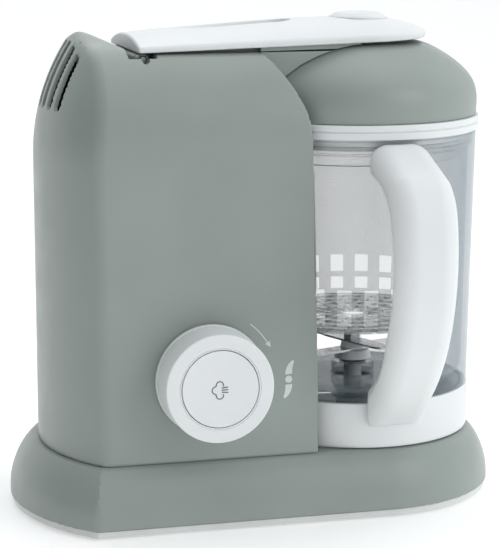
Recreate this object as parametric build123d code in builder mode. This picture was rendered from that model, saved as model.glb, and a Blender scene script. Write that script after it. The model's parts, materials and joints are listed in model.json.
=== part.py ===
"""Baby food maker: a steaming and blending jug beside a tower, on one base.

Frame: the origin is the centre of the footprint on the table. +X runs from the tower to the jug,
-Y is the side with the knob, +Z is up. All sizes are in millimetres.
"""

from build123d import *
import math
import os

os.makedirs("parts", exist_ok=True)

# ---------------------------------------------------------------- driving dimensions
# heights above the table
PLATE_BOTTOM = 1.2
PLATE_TOP = 4.4
BASE_TOP = 35.3
SHOULDER = 190.0  # the tower's left end starts to lean over here
DECK = 247.0  # flat top of the tower, under the arm
POCKET_FLOOR = 242.5  # sunk part of the deck, for the arm's tray
CEILING = 238.5  # top of the hollow under the deck

# base: a front, a back, a bulged left end and a round right end about the jug axis
JUG_X = 60.0
BASE_HALF_DEPTH = 76.0
BASE_LEFT_CENTRE = -30.0
BASE_LEFT_RADIUS = 104.0
BASE_CORNER = 3.0
# (height, how far the outline has moved in) for the flared side
BASE_FLARE = ((4.4, 0.0), (14.0, 0.6), (24.0, 3.8), (31.0, 8.0), (35.3, 12.0))
WALL = 2.5

# tower
TOWER_END_CENTRE = -22.0
TOWER_END_RADIUS = 96.0
LEAN_AXIS = -5.0
TOWER_RIGHT = 30.0
# half of the pointed arch: (half-width, height)
ARCH = ((57.2, 222.0), (49.5, 236.0), (38.0, 246.9), (22.0, 253.4), (0.0, 257.8))
RIDGE_SLOPE = 0.19  # the two sides meet in a faint ridge
ARCH_FOOT = (63.3, 20.0)
ARCH_SPRING = (60.9, 202.0)
RECESS_RADIUS = 73.0
RECESS_PANEL = 2.5
RAMP_START = (-94.0, 258.2)
RAMP_END = (-74.5, 249.4)
VENT_CENTRES = (-26.0, -15.5, -5.0, 5.0, 15.5, 26.0)
VENT_WIDTH = 5.6
VENT_BOTTOM = 217.5

# arm over the lid
ARM_LEFT = -69.0
ARM_HALF_WIDTH = 38.0
ARM_SLOPE = 0.0262  # rise of its underside along X
ARM_BOTTOM = 249.4  # its underside at X = 0
ARM_SKIN = 2.2
TRAY_HALF_WIDTH = 32.4
HINGE = (-66.0, 244.0)
PIN_RADIUS = 1.6
KNUCKLE_RADIUS = 3.2
BODY_KNUCKLES = ((-34.0, -26.0), (-5.0, 5.0), (26.0, 34.0))
ARM_KNUCKLES = ((-25.6, -5.4), (5.4, 25.6))
BUTTON_X = JUG_X + 1
BUTTON_RADIUS = 16.0

# knob
KNOB_X = -38.0
KNOB_Z = 79.4
KNOB_FLANGE = 29.8
TOWER_FRONT = -62.6  # face of the tower at the knob

# drive
MOTOR = (-70.0, 12.0)
MOTOR_RADIUS = 27.0
SHAFT_RADIUS = 2.5
SPINDLE_RADIUS = 4.0
SMALL_PULLEY = 10.0
LARGE_PULLEY = 25.0
BELT_LOW, BELT_HIGH = 9.5, 16.5
RUNNING = 0.03  # radial running clearance
GAP = 0.35  # between pieces that move past each other

# steam
BOILER_X = -50.0
BOILER_RADIUS = 32.0
BOILER_FLANGE = 34.2
FILLER_X = -44.0
OUTLET_X = -28.0
NOZZLE_Z = 231.5

# jug
JUG_BOTTOM = 36.0
RING_TOP = 60.4
RING_RADIUS = 64.2
JUG_FLOOR = 60.7
JUG_RIM = 201.2
JUG_FOOT_RADIUS = 63.8
JUG_RIM_RADIUS = 66.5
HANDLE_ANGLE = 2.9  # from straight forward towards +X
HANDLE_WIDTH = 36.4
BASKET_FLOOR = 96.0

# lid: outer profile (radius, height)
COLLAR_RADIUS = 67.6
DOME = ((66.6, 210.1), (66.5, 221.0), (64.4, 228.2), (60.4, 233.7), (54.2, 239.2), (47.6, 243.6), (41.5, 246.9))
DOME_TOP = 249.3
DOME_FLAT = 34.0

PARTS = {}


def keep(name, part):
    """Name one finished piece and remember it for export."""
    part.label = name
    PARTS[name] = part


# ---------------------------------------------------------------- shared shapes
def ring(centre, outer, inner, low, high):
    """An upright disc, or a ring when inner is above zero."""
    with BuildPart() as form:
        with BuildSketch(Plane.XY.offset(low)):
            with Locations(centre):
                Circle(outer)
                if inner > 0:
                    Circle(inner, mode=Mode.SUBTRACT)
        extrude(amount=high - low)
    return form.part


def front_ring(centre, outer, inner, front, back):
    """A disc or ring about an axis along Y; centre is (x, z)."""
    with BuildPart() as form:
        with BuildSketch(Plane.XZ.offset(-front)):
            with Locations(centre):
                Circle(outer)
                if inner > 0:
                    Circle(inner, mode=Mode.SUBTRACT)
        extrude(amount=front - back)
    return form.part


def side_ring(centre, outer, inner, left, right):
    """A disc or ring about an axis along X; centre is (y, z)."""
    with BuildPart() as form:
        with BuildSketch(Plane.YZ.offset(left)):
            with Locations(centre):
                Circle(outer)
                if inner > 0:
                    Circle(inner, mode=Mode.SUBTRACT)
        extrude(amount=right - left)
    return form.part


def block(low, high):
    """A box between two opposite corners."""
    size = [b - a for a, b in zip(low, high)]
    middle = [(a + b) / 2 for a, b in zip(low, high)]
    with BuildPart() as form:
        with Locations(tuple(middle)):
            Box(*size)
    return form.part


def turned(points, centre_x=JUG_X, centre_y=0.0):
    """A solid of revolution about an upright axis; points are (radius, height)."""
    with BuildPart() as form:
        with BuildSketch(Plane.XZ):
            with BuildLine():
                Polyline(*points, close=True)
            make_face()
        revolve(axis=Axis.Z)
    return form.part.moved(Location((centre_x, centre_y, 0)))


def coil_spring(radius, wire, height, turns, location):
    """A round-wire compression spring that starts at location and runs along its Z."""
    with BuildPart() as form:
        with BuildLine() as path:
            Helix(pitch=height / turns, height=height, radius=radius)
        with BuildSketch(Plane(origin=path.line @ 0, z_dir=path.line % 0)):
            Circle(wire)
        sweep(is_frenet=True)
    return form.part.moved(location)


def upright_screw(x, y, head_low, shank_top, head_radius=3.0, shank_radius=1.4):
    """A pan-head screw driven in from below."""
    with BuildPart() as form:
        with BuildSketch(Plane.XY.offset(head_low)):
            with Locations((x, y)):
                Circle(head_radius)
        extrude(amount=1.8)
        with BuildSketch(Plane.XY.offset(head_low + 1.8)):
            with Locations((x, y)):
                Circle(shank_radius)
        extrude(amount=shank_top - head_low - 1.8)
        with Locations((x, y, head_low)):
            Box(4.0, 0.9, 1.6, mode=Mode.SUBTRACT)
            Box(0.9, 4.0, 1.6, mode=Mode.SUBTRACT)
    return form.part


def base_outline(inset):
    """The base seen from above, moved in by inset."""
    half = BASE_HALF_DEPTH - inset
    left_radius = BASE_LEFT_RADIUS - inset
    corner_x = BASE_LEFT_CENTRE - math.sqrt(left_radius**2 - half**2)
    with BuildSketch() as outline:
        with BuildLine():
            Line((corner_x, -half), (JUG_X, -half))
            ThreePointArc((JUG_X, -half), (JUG_X + half, 0), (JUG_X, half))
            Line((JUG_X, half), (corner_x, half))
            ThreePointArc((corner_x, half), (BASE_LEFT_CENTRE - left_radius, 0), (corner_x, -half))
        make_face()
        fillet(outline.vertices().sort_by(Axis.X)[:2], radius=BASE_CORNER)
    return outline.sketch


def arch_points(side, inset):
    """One side of the arch from its spring to the ridge, every point moved in by inset."""
    outer = (ARCH_FOOT, ARCH_SPRING) + ARCH
    moved = []
    for before, here, after in zip(outer, outer[1:], outer[2:]):
        run, rise = after[0] - before[0], after[1] - before[1]
        length = math.hypot(run, rise)
        moved.append((side * (here[0] - inset * rise / length), here[1] + inset * run / length))
    moved.append((0.0, ARCH[-1][1] - inset * math.hypot(1, RIDGE_SLOPE)))
    return moved


def tower_form(inset):
    """The tower's outside, or the same form moved in by inset; its foot stays on the base."""
    end_radius = TOWER_END_RADIUS - inset
    half = 66.0
    corner_x = TOWER_END_CENTRE - math.sqrt(end_radius**2 - half**2)
    left_x = TOWER_END_CENTRE - end_radius

    def end_plan(right, height):
        with BuildSketch() as plan:
            with BuildLine():
                ThreePointArc((corner_x, half), (left_x, 0), (corner_x, -half))
                Polyline((corner_x, -half), (right, -half), (right, half), (corner_x, half))
            make_face()
        return plan.sketch.moved(Location((0, 0, height)))

    with BuildPart() as form:
        add(end_plan(TOWER_RIGHT, BASE_TOP))
        extrude(amount=SHOULDER - BASE_TOP)
        # above the shoulder the bulged end leans over about an axis along Y
        add(end_plan(LEAN_AXIS, SHOULDER))
        revolve(axis=Axis((LEAN_AXIS, 0, SHOULDER), (0, 1, 0)), revolution_arc=90)
        with Locations(((LEAN_AXIS + TOWER_RIGHT) / 2, 0, SHOULDER + 50)):
            Box(TOWER_RIGHT - LEAN_AXIS, 2 * half, 100)
        # front, back and top follow a pointed arch
        with BuildSketch(Plane.YZ.offset(-130)):
            with BuildLine():
                for side in (1, -1):
                    curve = arch_points(side, inset)
                    Line((side * (ARCH_FOOT[0] - inset), ARCH_FOOT[1]), curve[0])
                    Spline(*curve, tangents=[(-side * 0.0132, 1), (-side, RIDGE_SLOPE)])
                Line((ARCH_FOOT[0] - inset, ARCH_FOOT[1]), (inset - ARCH_FOOT[0], ARCH_FOOT[1]))
            make_face()
        extrude(amount=200, mode=Mode.INTERSECT)
    return form.part


def arm_underside(x):
    return ARM_BOTTOM + ARM_SLOPE * x


def arm_form(inset):
    """The arm's outside, or the same form moved in by inset and open at the underside."""
    half = ARM_HALF_WIDTH - inset
    left = ARM_LEFT + inset
    right = JUG_X + half
    drop = 5.0 if inset > 0 else 0.0
    with BuildPart() as form:
        # side view: a rising ridge and a rounded nose
        with BuildSketch(Plane.XZ):
            with BuildLine():
                Polyline(
                    (JUG_X + 14.0, 263.4 - inset),
                    (ARM_LEFT + 10, 257.1 - inset),
                    (left, 255.9 - inset),
                    (left, arm_underside(left) - drop),
                    (right, arm_underside(right) - drop),
                    (right, arm_underside(right) + 1.2),
                )
                Spline(
                    (right, arm_underside(right) + 1.2),
                    (right - 3.2, 257.6 - inset),
                    (JUG_X + 24.0, 261.6 - inset),
                    (JUG_X + 14.0, 263.4 - inset),
                    tangents=[(-0.15, 1), (-1, 0.1)],
                )
            make_face()
        extrude(amount=half, both=True)
        # top view: square at the hinge, round about the jug axis
        with BuildSketch(Plane.XY.offset(235)) as plan:
            with BuildLine():
                Polyline((JUG_X, -half), (left, -half), (left, half), (JUG_X, half))
                ThreePointArc((JUG_X, half), (JUG_X + half, 0), (JUG_X, -half))
            make_face()
            fillet(plan.vertices().sort_by(Axis.X)[:2], radius=4.0)
        extrude(amount=35, mode=Mode.INTERSECT)
        # end view: a low crown that grows towards the jug
        for x, edge, ridge in ((ARM_LEFT - 1, 250.6, 256.0), (JUG_X + 40, 255.0, 266.0)):
            with BuildSketch(Plane.YZ.offset(x)):
                with BuildLine():
                    ThreePointArc((-half, edge - inset), (0, ridge - inset), (half, edge - inset))
                    Polyline((half, edge - inset), (half, 235), (-half, 235), (-half, edge - inset))
                make_face()
        loft(mode=Mode.INTERSECT)
    return form.part


def finger_scoop(margin):
    """The long hollow in the arm's ridge, deepest at its right end."""
    with BuildPart() as form:
        with BuildSketch(Plane.XZ):
            with BuildLine():
                Polyline((-60, 257.2 - margin), (22 + margin, 257.0 - margin), (22 + margin, 270), (-60, 270),
                         close=True)
            make_face()
        extrude(amount=11 + margin, both=True)
        with BuildSketch(Plane.XY.offset(240)):
            with Locations((-19 + margin / 2, 0)):
                SlotOverall(82 + margin, 2 * (11 + margin))
        extrude(amount=40, mode=Mode.INTERSECT)
    return form.part


# ---------------------------------------------------------------- base
SCREW_SPOTS = ((-95.0, -40.0), (-95.0, 40.0), (30.0, -58.0), (30.0, 58.0), (112.0, 0.0))
FOOT_SPOTS = ((-88.0, -58.0), (-88.0, 58.0), (90.0, -52.0), (90.0, 52.0), (0.0, 0.0))

with BuildPart() as base_shell:
    for height, inset in BASE_FLARE:
        add(base_outline(inset).moved(Location((0, 0, height))))
    loft()
    for height, inset in BASE_FLARE[:-1] + ((BASE_TOP - WALL, 9.7),):
        add(base_outline(inset + WALL).moved(Location((0, 0, height))))
    loft(mode=Mode.SUBTRACT)
    for spot in SCREW_SPOTS:
        add(ring(spot, 4.0, 0, PLATE_TOP, BASE_TOP - WALL))
        add(ring(spot, 1.5, 0, PLATE_TOP, 24), mode=Mode.SUBTRACT)
    # boss that holds the spindle's bearings
    add(ring((JUG_X, 0), 11.5, 0, 19.4, BASE_TOP - WALL))
    # openings: motor, wires, drive spindle, cord gland
    with BuildSketch(Plane.XY.offset(BASE_TOP)):
        with Locations(MOTOR):
            Circle(18)
        with Locations((-25, 30)):
            SlotOverall(26, 10)
    extrude(amount=-2 * WALL, mode=Mode.SUBTRACT)
    add(ring((JUG_X, 0), 8.0, 0, 15.0, 40.0), mode=Mode.SUBTRACT)
    add(front_ring((-62, 18), 6.0, 0, 60, 80), mode=Mode.SUBTRACT)
keep("base_shell", base_shell.part)

with BuildPart() as bottom_plate:
    with BuildSketch(Plane.XY.offset(PLATE_BOTTOM)):
        add(base_outline(1.2))
    extrude(amount=PLATE_TOP - PLATE_BOTTOM)
    for spot in FOOT_SPOTS:
        add(ring(spot, 9.1, 0, PLATE_BOTTOM, PLATE_BOTTOM + 1.0), mode=Mode.SUBTRACT)
    for spot in SCREW_SPOTS:
        add(ring(spot, 1.5, 0, PLATE_BOTTOM, PLATE_TOP), mode=Mode.SUBTRACT)
        add(ring(spot, 3.4, 0, PLATE_BOTTOM, PLATE_BOTTOM + 2.0), mode=Mode.SUBTRACT)
    with BuildSketch(Plane.XY.offset(PLATE_BOTTOM)):
        with Locations((MOTOR[0], 0)):
            with GridLocations(8, 0, 5, 1):
                SlotOverall(40, 3, rotation=90)
    extrude(amount=PLATE_TOP, mode=Mode.SUBTRACT)
keep("bottom_plate", bottom_plate.part)

with BuildPart() as rubber_feet:
    for spot in FOOT_SPOTS:
        add(ring(spot, 9.0, 0, 0, PLATE_BOTTOM + 1.0))
keep("rubber_feet", rubber_feet.part)

with BuildPart() as bottom_screws:
    for x, y in SCREW_SPOTS:
        add(upright_screw(x, y, PLATE_BOTTOM + 0.2, 18))
keep("bottom_screws", bottom_screws.part)

with BuildPart() as cord_gland:
    add(front_ring((-62, 18), 5.8, 3.4, 62.6, 80.0))
    add(front_ring((-62, 18), 7.6, 3.4, 62.6, 65.6))
keep("cord_gland", cord_gland.part)

# ---------------------------------------------------------------- tower
tower_outside = tower_form(0)
tower_inside = tower_form(WALL)

with BuildPart() as tower_hollow:
    add(tower_inside)
    add(block((-92, -80, CEILING), (60, 80, 280)), mode=Mode.SUBTRACT)

with BuildPart() as body_shell:
    add(tower_outside)
    add(tower_hollow.part, mode=Mode.SUBTRACT)
    add(ring((JUG_X, 0), RECESS_RADIUS, 0, 0, 300), mode=Mode.SUBTRACT)
    # ramp down from the ridge, then the flat deck
    with BuildSketch(Plane.XZ):
        with BuildLine():
            Polyline(RAMP_START, RAMP_END, (RAMP_END[0], DECK), (60, DECK), (60, 290), (-94, 290), close=True)
        make_face()
    extrude(amount=70, both=True, mode=Mode.SUBTRACT)
    add(block((RAMP_END[0], -32.5, POCKET_FLOOR), (30, 32.5, 260)), mode=Mode.SUBTRACT)
    add(block((RAMP_END[0], -39.5, 240.4), (-60, 39.5, 260)), mode=Mode.SUBTRACT)
    # knuckles that carry the arm's pin
    for low, high in BODY_KNUCKLES:
        add(front_ring(HINGE, KNUCKLE_RADIUS, 0, low, high))
        add(block((HINGE[0] - KNUCKLE_RADIUS, low, 239.5), (HINGE[0] + KNUCKLE_RADIUS, high, HINGE[1])))
    add(front_ring(HINGE, PIN_RADIUS + 0.05, 0, -36, 36), mode=Mode.SUBTRACT)
    # filler hole with a seat for the boiler cap's flange
    add(ring((FILLER_X, 0), 10.2, 0, CEILING - 1, 250), mode=Mode.SUBTRACT)
    add(ring((FILLER_X, 0), 13.2, 0, 240.5, 250), mode=Mode.SUBTRACT)
    # vent slots in the left end, each stopping short of the arch
    for y in VENT_CENTRES:
        top = 253.4 - 0.19 * abs(y) - 0.0042 * y * y
        with BuildSketch(Plane.XZ.offset(-y)):
            with BuildLine():
                Polyline((-125, VENT_BOTTOM), (-96.5, VENT_BOTTOM), (-94.0, top), (-125, top), close=True)
            make_face()
        extrude(amount=VENT_WIDTH / 2, both=True, mode=Mode.SUBTRACT)
    # knob shaft
    add(front_ring((KNOB_X, KNOB_Z), 8.4, 0, -70, -50), mode=Mode.SUBTRACT)
keep("body_shell", body_shell.part)

with BuildPart() as recess_panel:
    add(tower_form(WALL + 0.15))
    add(ring((JUG_X, 0), RECESS_RADIUS + RECESS_PANEL, RECESS_RADIUS, BASE_TOP + 0.1, CEILING - 0.2),
        mode=Mode.INTERSECT)
    add(side_ring((0, NOZZLE_Z), 5.4, 0, -20, 0), mode=Mode.SUBTRACT)
keep("recess_panel", recess_panel.part)

# room for the lid's dome, a little larger than the dome all round
dome_room = turned([(0, DOME_TOP + 0.5), (DOME_FLAT + 3.0, DOME_TOP + 0.5)]
                   + [(radius + 0.7, height + 0.6) for radius, height in reversed(DOME)]
                   + [(DOME[0][0] + 0.7, 205), (0, 205)])

# fills the space between the tower and the lid, and hugs the dome on both sides
with BuildPart() as steam_neck:
    add(block((-16, -35.8, 222.5), (42, 35.8, 246.8)))
    add(ring((JUG_X, 0), RECESS_RADIUS - 0.15, 0, 200, 260), mode=Mode.INTERSECT)
    add(dome_room, mode=Mode.SUBTRACT)
    add(side_ring((0, NOZZLE_Z), 5.4, 0, -20, 10), mode=Mode.SUBTRACT)
    # pocket for the arm's tray, and the lipped slot that the latch hook drops into
    add(block((-20, -32.5, POCKET_FLOOR + 0.1), (7.0, 32.5, 250)), mode=Mode.SUBTRACT)
    add(block((-3.8, -5.0, 237.6), (3.0, 5.0, 250)), mode=Mode.SUBTRACT)
    add(block((-5.6, -5.0, 237.6), (-3.0, 5.0, 240.4)), mode=Mode.SUBTRACT)
keep("steam_neck", steam_neck.part)

with BuildPart() as hinge_pin:
    add(front_ring(HINGE, PIN_RADIUS, 0, -34.5, 34.5))
keep("hinge_pin", hinge_pin.part)

# ---------------------------------------------------------------- steam side, inside the tower
keep("boiler_pot", turned(
    ((0, 150), (28, 150), (BOILER_RADIUS, 154), (BOILER_RADIUS, 208), (BOILER_FLANGE, 208),
     (BOILER_FLANGE, 209.5),
     (30.8, 209.5), (30.8, 154.8), (27.6, 151.4), (0, 151.4)), BOILER_X))

with BuildPart() as boiler_cap:
    add(turned(((0, 222.4), (26, 222.4), (31, 218), (31, 211.2), (BOILER_FLANGE, 211.2),
                (BOILER_FLANGE, 209.7), (29.5, 209.7),
                (29.5, 217.4), (25.4, 220.9), (0, 220.9)), BOILER_X))
    # filler neck up to the deck, with a flange that sits in the deck's seat
    add(ring((FILLER_X, 0), 10.0, 0, 221, 241.4))
    add(ring((FILLER_X, 0), 13.0, 0, 240.6, 242.0))
    add(ring((FILLER_X, 0), 8.2, 0, 222.4, 245), mode=Mode.SUBTRACT)
    # strainer holes at the foot of the neck
    for radius, count in ((0, 1), (3.4, 6), (6.4, 12)):
        with Locations((FILLER_X, 0, 221)):
            with PolarLocations(radius, count):
                Cylinder(0.45, 6, mode=Mode.SUBTRACT)
    add(ring((OUTLET_X, 0), 2.9, 0, 215, 225), mode=Mode.SUBTRACT)
    add(ring((OUTLET_X, 0), 4.0, 2.9, 219.8, 225.5))
keep("boiler_cap", boiler_cap.part)

with BuildPart() as heating_element:
    with BuildSketch(Plane.XZ):
        with Locations((22, 146.7)):
            Circle(3.2)
    revolve(axis=Axis.Z, revolution_arc=320)
keep("heating_element", heating_element.part.moved(Location((BOILER_X, 0, 0))))

with BuildPart() as thermostat:
    add(ring((BOILER_X, 0), 8.0, 0, 145.0, 149.9))
    add(block((BOILER_X - 6, -2, 140.0), (BOILER_X - 4.8, 2, 145.0)))
    add(block((BOILER_X + 4.8, -2, 140.0), (BOILER_X + 6, 2, 145.0)))
keep("thermostat", thermostat.part)

with BuildPart() as boiler_shelf:
    add(block((-130, -70, 129.0), (40, 70, 131.5)))
    add(tower_form(WALL + 0.3), mode=Mode.INTERSECT)
    add(ring((JUG_X, 0), RECESS_RADIUS + RECESS_PANEL + 0.3, 0, 120, 140), mode=Mode.SUBTRACT)
    with BuildSketch(Plane.XY.offset(129)):
        with Locations((-95, 0), (-20, 44)):
            SlotOverall(30, 12, rotation=90)
    extrude(amount=2.5, mode=Mode.SUBTRACT)
    for angle in (45, 135, 225, 315):
        x = BOILER_X + 34.2 * math.cos(math.radians(angle))
        y = 34.2 * math.sin(math.radians(angle))
        add(ring((x, y), 1.8, 0, 131.5, 207.9))
keep("boiler_shelf", boiler_shelf.part)

with BuildPart() as steam_pipe:
    with BuildLine() as route:
        FilletPolyline((OUTLET_X, 0, 222.6), (OUTLET_X, 0, NOZZLE_Z), (-7.6, 0, NOZZLE_Z), radius=6.5)
    with BuildSketch(Plane(origin=route.line @ 0, z_dir=route.line % 0)):
        Circle(5.2)
        Circle(4.1, mode=Mode.SUBTRACT)
    sweep()
keep("steam_pipe", steam_pipe.part)

# ---------------------------------------------------------------- knob and switches
keep("knob_bezel", front_ring((KNOB_X, KNOB_Z), KNOB_FLANGE, 9.0, -66.4, TOWER_FRONT - 0.4))

with BuildPart() as knob:
    with BuildSketch(Plane.XY):
        with BuildLine():
            Polyline((0, -66.8), (29.0, -66.8), (28.6, -68.2), (27.5, -83.6), (26.0, -86.0), (20.6, -86.0),
                     (20.6, -80.0), (0, -80.0), close=True)
        make_face()
    revolve(axis=Axis.Y)
    add(front_ring((0, 0), 26.0, 8.0, -77.5, -66.0), mode=Mode.SUBTRACT)
    add(front_ring((0, 0), 8.0, 0, -80.0, -48.0))
    add(front_ring((0, 0), 3.25, 0, -90.0, -40.0), mode=Mode.SUBTRACT)
keep("knob", knob.part.moved(Location((KNOB_X, 0, KNOB_Z))))

with BuildPart() as steam_button:
    add(front_ring((KNOB_X, KNOB_Z), 20.15, 0, -86.3, -83.4))
    add(front_ring((KNOB_X, KNOB_Z), 3.15, 0, -83.4, -45.0))
keep("steam_button", steam_button.part)

with BuildPart() as knob_cam:
    with BuildSketch(Plane.XZ.offset(54.5)):
        with Locations((KNOB_X, KNOB_Z)):
            Circle(12)
            with Locations((9, 0)):
                Rectangle(12, 7)
            Circle(8.05, mode=Mode.SUBTRACT)
    extrude(amount=-4)
keep("knob_cam", knob_cam.part)

keep("knob_spring", coil_spring(
    9.6, 0.5, 3.4, 3, Location((KNOB_X, -55.2, KNOB_Z), (90, 0, 0))))

with BuildPart() as switch_bracket:
    add(block((KNOB_X - 24, -33.0, KNOB_Z - 25), (KNOB_X + 24, -31.2, KNOB_Z + 8)))
    for x in (KNOB_X - 21, KNOB_X + 21):
        add(front_ring((x, KNOB_Z), 2.4, 0, -59.4, -33.0))
keep("switch_bracket", switch_bracket.part)

# one switch behind the button's stem, one beside the cam
with BuildPart() as micro_switches:
    add(block((KNOB_X - 6, -41.8, KNOB_Z - 4), (KNOB_X + 6, -33.1, KNOB_Z + 4)))
    add(block((KNOB_X + 1, -53.8, KNOB_Z - 23), (KNOB_X + 13, -33.1, KNOB_Z - 16.2)))
keep("micro_switches", micro_switches.part)

with BuildPart() as circuit_board:
    add(block((-78, 53.0, 60), (-22, 54.6, 124)))
    add(block((-72, 42.6, 104), (-56, 53.0, 118)))
    add(block((-46, 45.0, 96), (-34, 53.0, 116)))
    for x, z, radius in ((-34, 80, 4.0), (-46, 84, 3.2), (-34, 68, 3.2)):
        add(front_ring((x, z), radius, 0, 43.0, 53.0))
keep("circuit_board", circuit_board.part)

# ---------------------------------------------------------------- motor
with BuildPart() as motor_can:
    add(ring(MOTOR, MOTOR_RADIUS, MOTOR_RADIUS - 1.5, 47.0, 108.0))
    add(ring(MOTOR, MOTOR_RADIUS, 0, 47.0, 50.0))
    add(ring(MOTOR, 8.0, 0, 43.0, 52.0))
    add(ring(MOTOR, SHAFT_RADIUS + RUNNING, 0, 40.0, 60.0), mode=Mode.SUBTRACT)
keep("motor_can", motor_can.part)

with BuildPart() as motor_end_bell:
    add(ring(MOTOR, MOTOR_RADIUS, 0, 108.1, 110.6))
    add(ring(MOTOR, 8.0, 0, 106.0, 113.4))
    add(ring(MOTOR, SHAFT_RADIUS + RUNNING, 0, 100.0, 120.0), mode=Mode.SUBTRACT)
keep("motor_end_bell", motor_end_bell.part)

with BuildPart() as motor_magnets:
    add(ring(MOTOR, MOTOR_RADIUS - 1.6, 21.0, 58.0, 92.0))
    with Locations((MOTOR[0], MOTOR[1], 75)):
        Box(60, 12, 40, mode=Mode.SUBTRACT)
keep("motor_magnets", motor_magnets.part)

keep("motor_shaft", ring(MOTOR, SHAFT_RADIUS, 0, 7.0, 122.0))

with BuildPart() as rotor_core:
    add(ring(MOTOR, 20.4, SHAFT_RADIUS, 62.0, 88.0))
    with Locations((MOTOR[0], MOTOR[1], 75)):
        with PolarLocations(16.5, 10):
            Box(9.0, 3.6, 26, mode=Mode.SUBTRACT)
keep("rotor_core", rotor_core.part)

with BuildPart() as rotor_windings:
    with Locations((MOTOR[0], MOTOR[1], 75)):
        with PolarLocations(16.4, 10):
            Box(7.0, 3.2, 26)
    for low in (57.5, 88.05):
        add(ring(MOTOR, 19.0, 6.0, low, low + 4.45))
keep("rotor_windings", rotor_windings.part)

with BuildPart() as commutator:
    add(ring(MOTOR, 8.0, SHAFT_RADIUS, 93.5, 104.0))
    with Locations((MOTOR[0], MOTOR[1], 98)):
        with PolarLocations(8.0, 10):
            Box(1.6, 0.6, 9.0, mode=Mode.SUBTRACT)
keep("commutator", commutator.part)

with BuildPart() as motor_brushes:
    for side in (1, -1):
        inner = MOTOR[1] + side * 8.4
        outer = MOTOR[1] + side * 25.2
        add(block((MOTOR[0] - 2.5, min(inner, outer), 95.5), (MOTOR[0] + 2.5, max(inner, outer), 102.5)))
keep("motor_brushes", motor_brushes.part)

with BuildPart() as cooling_fan:
    add(ring(MOTOR, 6.0, SHAFT_RADIUS, 114.2, 120.0))
    add(ring(MOTOR, 22.0, SHAFT_RADIUS, 114.2, 115.4))
    with Locations((MOTOR[0], MOTOR[1], 117.6)):
        with PolarLocations(13.5, 9):
            Box(15.5, 1.2, 4.6)
keep("cooling_fan", cooling_fan.part)

BRACKET_LEGS = ((-31, -31), (-31, 31), (31, -31), (31, 31))
with BuildPart() as motor_bracket:
    with BuildSketch(Plane.XY.offset(44.4)):
        with Locations(MOTOR):
            RectangleRounded(66, 66, 6)
            Circle(8.2, mode=Mode.SUBTRACT)
    extrude(amount=2.5)
    for dx, dy in BRACKET_LEGS:
        add(ring((MOTOR[0] + 0.9 * dx, MOTOR[1] + 0.9 * dy), 3.6, 0, BASE_TOP + 0.1, 44.4))
keep("motor_bracket", motor_bracket.part)

# ---------------------------------------------------------------- belt drive
with BuildPart() as drive_pulley:
    add(ring(MOTOR, SMALL_PULLEY, SHAFT_RADIUS, BELT_LOW - 0.5, BELT_HIGH + 0.5))
    for low in (BELT_LOW - 1.7, BELT_HIGH + 0.5):
        add(ring(MOTOR, SMALL_PULLEY + 2.6, SHAFT_RADIUS, low, low + 1.2))
keep("drive_pulley", drive_pulley.part)

with BuildPart() as driven_pulley:
    add(ring((JUG_X, 0), LARGE_PULLEY, LARGE_PULLEY - 3, BELT_LOW - 0.5, BELT_HIGH + 0.5))
    add(ring((JUG_X, 0), LARGE_PULLEY, SPINDLE_RADIUS, 12.0, 14.0))
    add(ring((JUG_X, 0), 8.0, SPINDLE_RADIUS, BELT_LOW - 0.5, BELT_HIGH + 0.5))
    for low in (BELT_LOW - 1.7, BELT_HIGH + 0.5):
        add(ring((JUG_X, 0), LARGE_PULLEY + 2.2, LARGE_PULLEY - 3, low, low + 1.2))
    with BuildSketch(Plane.XY.offset(12)):
        with Locations((JUG_X, 0)):
            with PolarLocations(15, 6):
                Circle(4.2)
    extrude(amount=2, mode=Mode.SUBTRACT)
keep("driven_pulley", driven_pulley.part)


def belt_loop(extra):
    """The belt's path round both pulleys, as a filled sketch, pushed out by extra."""
    small = SMALL_PULLEY + extra
    large = LARGE_PULLEY + extra
    run_x = JUG_X - MOTOR[0]
    run_y = -MOTOR[1]
    length = math.hypot(run_x, run_y)
    heading = math.atan2(run_y, run_x)
    lean = math.asin((large - small) / length)
    with BuildSketch() as loop:
        with Locations(MOTOR):
            Circle(small)
        with Locations((JUG_X, 0)):
            Circle(large)
        corners = []
        for side in (1, -1):
            angle = heading + side * (math.pi / 2 + lean)
            ends = [
                (MOTOR[0] + small * math.cos(angle), MOTOR[1] + small * math.sin(angle)),
                (JUG_X + large * math.cos(angle), large * math.sin(angle)),
            ]
            corners += ends if side == 1 else ends[::-1]
        with BuildLine():
            Polyline(*corners, close=True)
        make_face()
    return loop.sketch


with BuildPart() as drive_belt:
    with BuildSketch(Plane.XY.offset(BELT_LOW)):
        add(belt_loop(1.4))
        add(belt_loop(0.05), mode=Mode.SUBTRACT)
    extrude(amount=BELT_HIGH - BELT_LOW)
keep("drive_belt", drive_belt.part)

keep("spindle", ring((JUG_X, 0), SPINDLE_RADIUS, 0, 7.0, 36.0))

with BuildPart() as spindle_bearings:
    for low in (19.6, 29.8):
        add(ring((JUG_X, 0), 7.95, SPINDLE_RADIUS + RUNNING, low, low + 4.6))
keep("spindle_bearings", spindle_bearings.part)

TANG_WIDTH = 5.0
with BuildPart() as drive_coupling:
    add(ring((JUG_X, 0), 11.5, 0, BASE_TOP + GAP, 41.5))
    with Locations((JUG_X, 0, 39.6)):
        Box(30, TANG_WIDTH + 2 * GAP, 6.2, mode=Mode.SUBTRACT)
    add(ring((JUG_X, 0), SPINDLE_RADIUS, 0, 35.0, 36.02), mode=Mode.SUBTRACT)
keep("drive_coupling", drive_coupling.part)

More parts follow.
